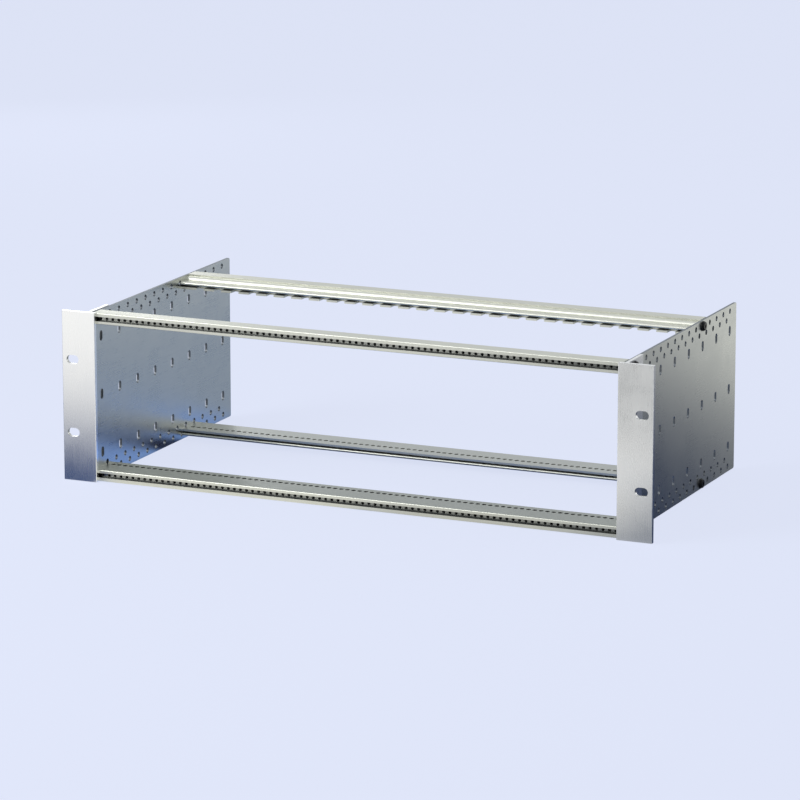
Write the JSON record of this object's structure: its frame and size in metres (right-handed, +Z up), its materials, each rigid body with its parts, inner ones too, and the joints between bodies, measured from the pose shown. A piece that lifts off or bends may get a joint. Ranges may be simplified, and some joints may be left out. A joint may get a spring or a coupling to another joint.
{
  "type": "subrack card cage",
  "caption": "Open rack-mount frame for plug-in circuit cards, with perforated side panels, grooved cross rails holding threaded strips, and slotted mounting brackets.",
  "frame": {"origin": "middle of the footprint, at the bottom of the mounting brackets", "axes": "+X across the cage along its rails, +Y from the front to the rear, +Z up"},
  "size_m": [0.4826, 0.24, 0.1326],
  "materials": {
    "side_sheet": "passivated sheet, fine grain, satin",
    "bracket_extrusion": "brushed and clear anodised",
    "rail_extrusion": "extruded, clear anodised, satin",
    "strip_metal": "zinc plated",
    "black_steel": "black oxide, semi-gloss"
  },
  "bodies": {
    "root": {"side_panel_left": "side_sheet", "side_panel_right": "side_sheet", "bracket_left": "bracket_extrusion", "bracket_right": "bracket_extrusion", "rail_front_top": "rail_extrusion", "rail_front_bottom": "rail_extrusion", "rail_rear_bottom": "rail_extrusion", "rail_rear_top": "rail_extrusion", "strip_front_top": "strip_metal", "strip_front_bottom": "strip_metal", "strip_rear_top": "strip_metal", "strip_rear_bottom": "strip_metal", "grub_screws_front_top": "black_steel", "grub_screws_front_bottom": "black_steel", "grub_screws_rear_top": "black_steel", "grub_screws_rear_bottom": "black_steel", "screw_front_top_left": "black_steel", "screw_front_top_right": "black_steel", "screw_front_bottom_left": "black_steel", "screw_front_bottom_right": "black_steel", "screw_rear_top_left": "black_steel", "screw_rear_top_right": "black_steel", "screw_rear_bottom_left": "black_steel", "screw_rear_bottom_right": "black_steel"}
  },
  "joints": []
}
